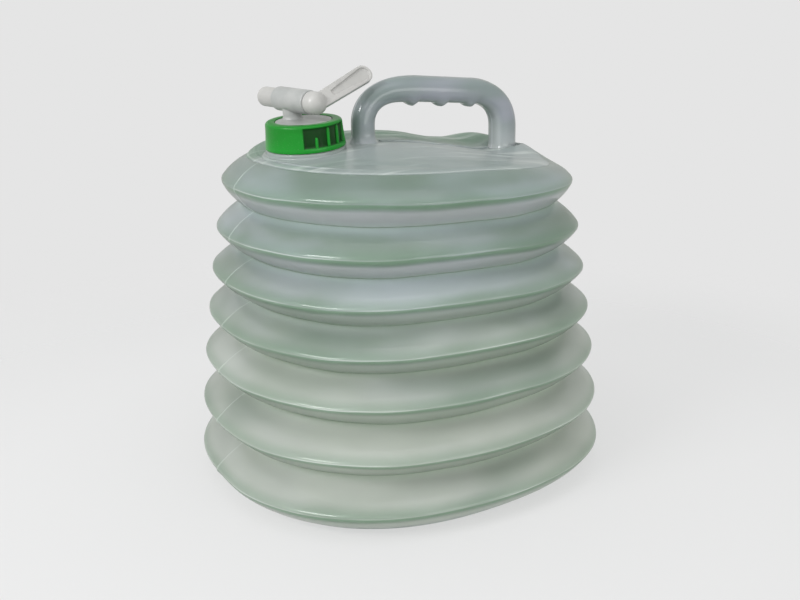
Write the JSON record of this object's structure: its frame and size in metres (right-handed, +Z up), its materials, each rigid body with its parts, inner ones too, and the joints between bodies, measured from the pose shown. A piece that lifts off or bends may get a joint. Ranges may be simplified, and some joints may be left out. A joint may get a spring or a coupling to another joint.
{
  "type": "collapsible water container",
  "caption": "Accordion water container that folds flat, with a moulded carry handle, a screw ring and a lever tap.",
  "frame": {"origin": "middle of the face that the container stands on", "axes": "+Z up, +X along the carry handle away from the neck, -Z out of the rest face"},
  "size_m": [0.31, 0.31, 0.3137],
  "materials": {
    "milky_container": "milky translucent blow-moulded polyethylene, satin gloss",
    "washer_rubber": "soft pale rubber",
    "green_ring": "bright green moulded plastic, satin gloss",
    "tap_natural": "natural off-white plastic, slightly translucent",
    "tap_white": "white moulded plastic, satin gloss"
  },
  "bodies": {
    "base": {"base_pan": "milky_container", "bellows_fold_7": "milky_container"},
    "fold_6": {"bellows_fold_6": "milky_container"},
    "fold_5": {"bellows_fold_5": "milky_container"},
    "fold_4": {"bellows_fold_4": "milky_container"},
    "fold_3": {"bellows_fold_3": "milky_container"},
    "fold_2": {"bellows_fold_2": "milky_container"},
    "fold_1": {"bellows_fold_1": "milky_container"},
    "top": {"top_plate": "milky_container", "screw_neck": "milky_container", "carry_handle": "milky_container"},
    "closure": {"seal_washer": "washer_rubber"},
    "ring": {"ring_cap": "green_ring"},
    "tap": {"tap_body": "tap_natural"},
    "lever": {"tap_lever": "tap_white"}
  },
  "joints": [
    {"name": "bellows_collapse", "type": "slide", "parent": "base", "child": "top", "axis": [0, 0, -1], "range_m": [0, 0.19], "deforming": ["bellows_fold_7"]},
    {"name": "fold_6_slide", "type": "slide", "parent": "base", "child": "fold_6", "axis": [0, 0, -1], "range_m": [0, 0.0267], "deforming": ["bellows_fold_6"]},
    {"name": "fold_5_slide", "type": "slide", "parent": "base", "child": "fold_5", "axis": [0, 0, -1], "range_m": [0, 0.0561], "deforming": ["bellows_fold_5"]},
    {"name": "fold_4_slide", "type": "slide", "parent": "base", "child": "fold_4", "axis": [0, 0, -1], "range_m": [0, 0.0842], "deforming": ["bellows_fold_4"]},
    {"name": "fold_3_slide", "type": "slide", "parent": "base", "child": "fold_3", "axis": [0, 0, -1], "range_m": [0, 0.1103], "deforming": ["bellows_fold_3"]},
    {"name": "fold_2_slide", "type": "slide", "parent": "base", "child": "fold_2", "axis": [0, 0, -1], "range_m": [0, 0.1359], "deforming": ["bellows_fold_2"]},
    {"name": "fold_1_slide", "type": "slide", "parent": "base", "child": "fold_1", "axis": [0, 0, -1], "range_m": [0, 0.1629], "deforming": ["bellows_fold_1"]},
    {"name": "closure_lift", "type": "slide", "parent": "top", "child": "closure", "axis": [-0.0956, -0.0698, 0.993], "range_m": [0, 0.01201]},
    {"name": "ring_turn", "type": "hinge", "parent": "closure", "child": "ring", "pos_m": [-0.0765, 0, 0.2457], "axis": [-0.0956, -0.0698, 0.993], "range_deg": [0, 720]},
    {"name": "tap_swivel", "type": "hinge", "parent": "closure", "child": "tap", "pos_m": [-0.0765, 0, 0.2457], "axis": [-0.0956, -0.0698, 0.993], "continuous": true},
    {"name": "lever_turn", "type": "hinge", "parent": "tap", "child": "lever", "pos_m": [-0.08069, -0.00305, 0.28919], "axis": [0.2891, -0.9565, -0.0394], "range_deg": [0, 90]}
  ],
  "couplings": [
    {"joint": "fold_6_slide", "follows": "bellows_collapse", "ratio": 0.13953},
    {"joint": "fold_5_slide", "follows": "bellows_collapse", "ratio": 0.29448},
    {"joint": "fold_4_slide", "follows": "bellows_collapse", "ratio": 0.44218},
    {"joint": "fold_3_slide", "follows": "bellows_collapse", "ratio": 0.57975},
    {"joint": "fold_2_slide", "follows": "bellows_collapse", "ratio": 0.71442},
    {"joint": "fold_1_slide", "follows": "bellows_collapse", "ratio": 0.85633},
    {"joint": "closure_lift", "follows": "ring_turn", "m_per_rad": 0.00095493}
  ]
}
